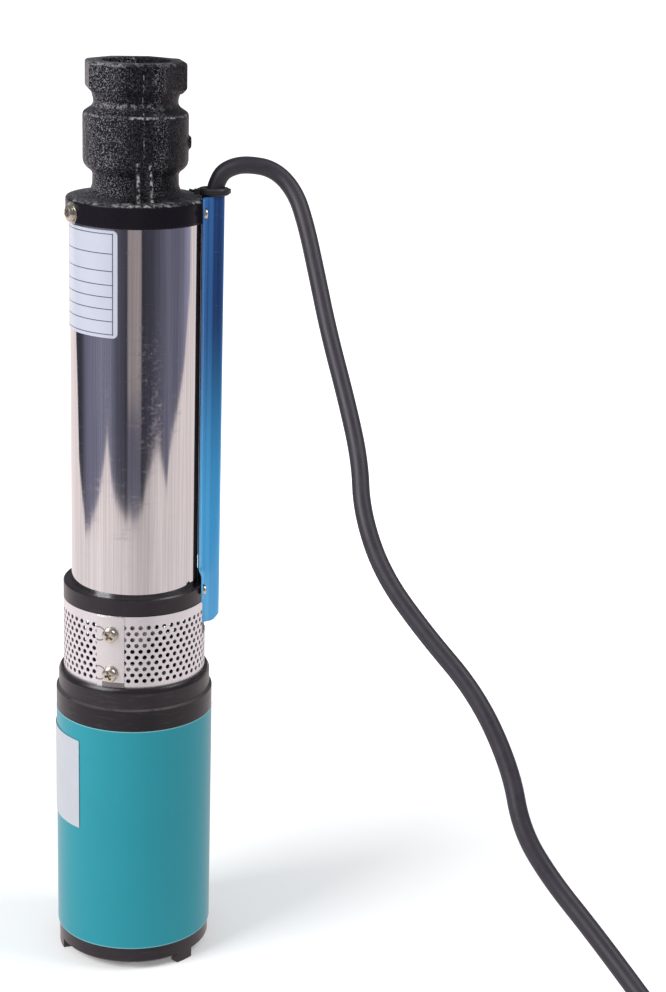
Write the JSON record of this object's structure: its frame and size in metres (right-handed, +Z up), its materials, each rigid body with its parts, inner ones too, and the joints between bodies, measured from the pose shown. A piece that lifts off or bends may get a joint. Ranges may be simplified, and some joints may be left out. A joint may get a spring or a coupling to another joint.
{
  "type": "solar submersible pump",
  "caption": "Slim multistage borehole pump: sealed motor below, perforated suction strainer, steel pump tube and a cast threaded outlet head with a check valve, cable guard and lead.",
  "frame": {"origin": "on the pump's axis, level with the undersides of its three feet", "axes": "+Z up along the axis to the outlet, +X towards the cable guard, -Y towards the camera side"},
  "size_m": [0.3635, 0.6142, 0.5532],
  "materials": {
    "castBlack": "satin black coat over a casting",
    "tealCoat": "satin powder coat",
    "blueCoat": "gloss coat",
    "steel": "polished stainless steel",
    "lamination": "stacked sheet",
    "copper": "enamelled wire",
    "magnet": "plain",
    "ceramic": "lapped",
    "brass": "machined",
    "rubber": "matt",
    "blackPlastic": "matt",
    "stagePlastic": "moulded",
    "label": "satin sticker"
  },
  "bodies": {
    "pump": {"base_cap": "castBlack", "motor_shell": "tealCoat", "motor_head": "castBlack", "tie_bolts": "steel", "lower_shell_ring": "rubber", "upper_shell_ring": "rubber", "stator_core": "lamination", "stator_windings": "copper", "lower_bearing_outer": "steel", "lower_bearing_balls": "steel", "upper_bearing_outer": "steel", "upper_bearing_balls": "steel", "seal_seat": "ceramic", "cable_gland": "brass", "held_lead": "rubber", "suction_body": "castBlack", "suction_bolts": "steel", "strainer_screen": "steel", "strainer_screws": "steel", "pump_tube": "steel", "top_bearing_carrier": "blackPlastic", "top_bearing_bush": "rubber", "outlet_head": "castBlack", "rim_screw": "steel", "valve_seat": "brass", "valve_spring": "steel", "valve_guide": "brass", "cable_guard": "blueCoat", "guard_screws": "steel", "cable_grommet": "rubber", "cable_tie": "blackPlastic", "tube_label": "label", "motor_label": "label", "free_lead": "rubber", "lead_coil": "rubber", "coil_tie": "blackPlastic", "lead_cores": "copper", "diffuser_bowl_1": "stagePlastic", "diffuser_bowl_2": "stagePlastic", "diffuser_bowl_3": "stagePlastic", "diffuser_bowl_4": "stagePlastic", "diffuser_bowl_5": "stagePlastic"},
    "rotor": {"rotor_core": "lamination", "rotor_magnets": "magnet", "motor_shaft": "steel", "lower_bearing_inner": "steel", "upper_bearing_inner": "steel", "seal_ring": "ceramic", "seal_bellows": "rubber", "shaft_coupling": "steel", "coupling_screws": "steel", "pump_shaft": "steel", "shaft_nut": "steel", "impeller_1": "stagePlastic", "impeller_2": "stagePlastic", "impeller_3": "stagePlastic", "impeller_4": "stagePlastic", "impeller_5": "stagePlastic"},
    "valve": {"valve_poppet": "brass", "valve_seal": "rubber"}
  },
  "joints": [
    {"name": "rotor_spin", "type": "hinge", "parent": "pump", "child": "rotor", "pos_m": [0, 0, 0], "axis": [0, 0, 1], "continuous": true},
    {"name": "valve_lift", "type": "slide", "parent": "pump", "child": "valve", "axis": [0, 0, 1], "range_m": [0, 0.006], "stiffness_N_per_m": 300, "springref_m": -0.01, "deforming": ["valve_spring"]}
  ]
}
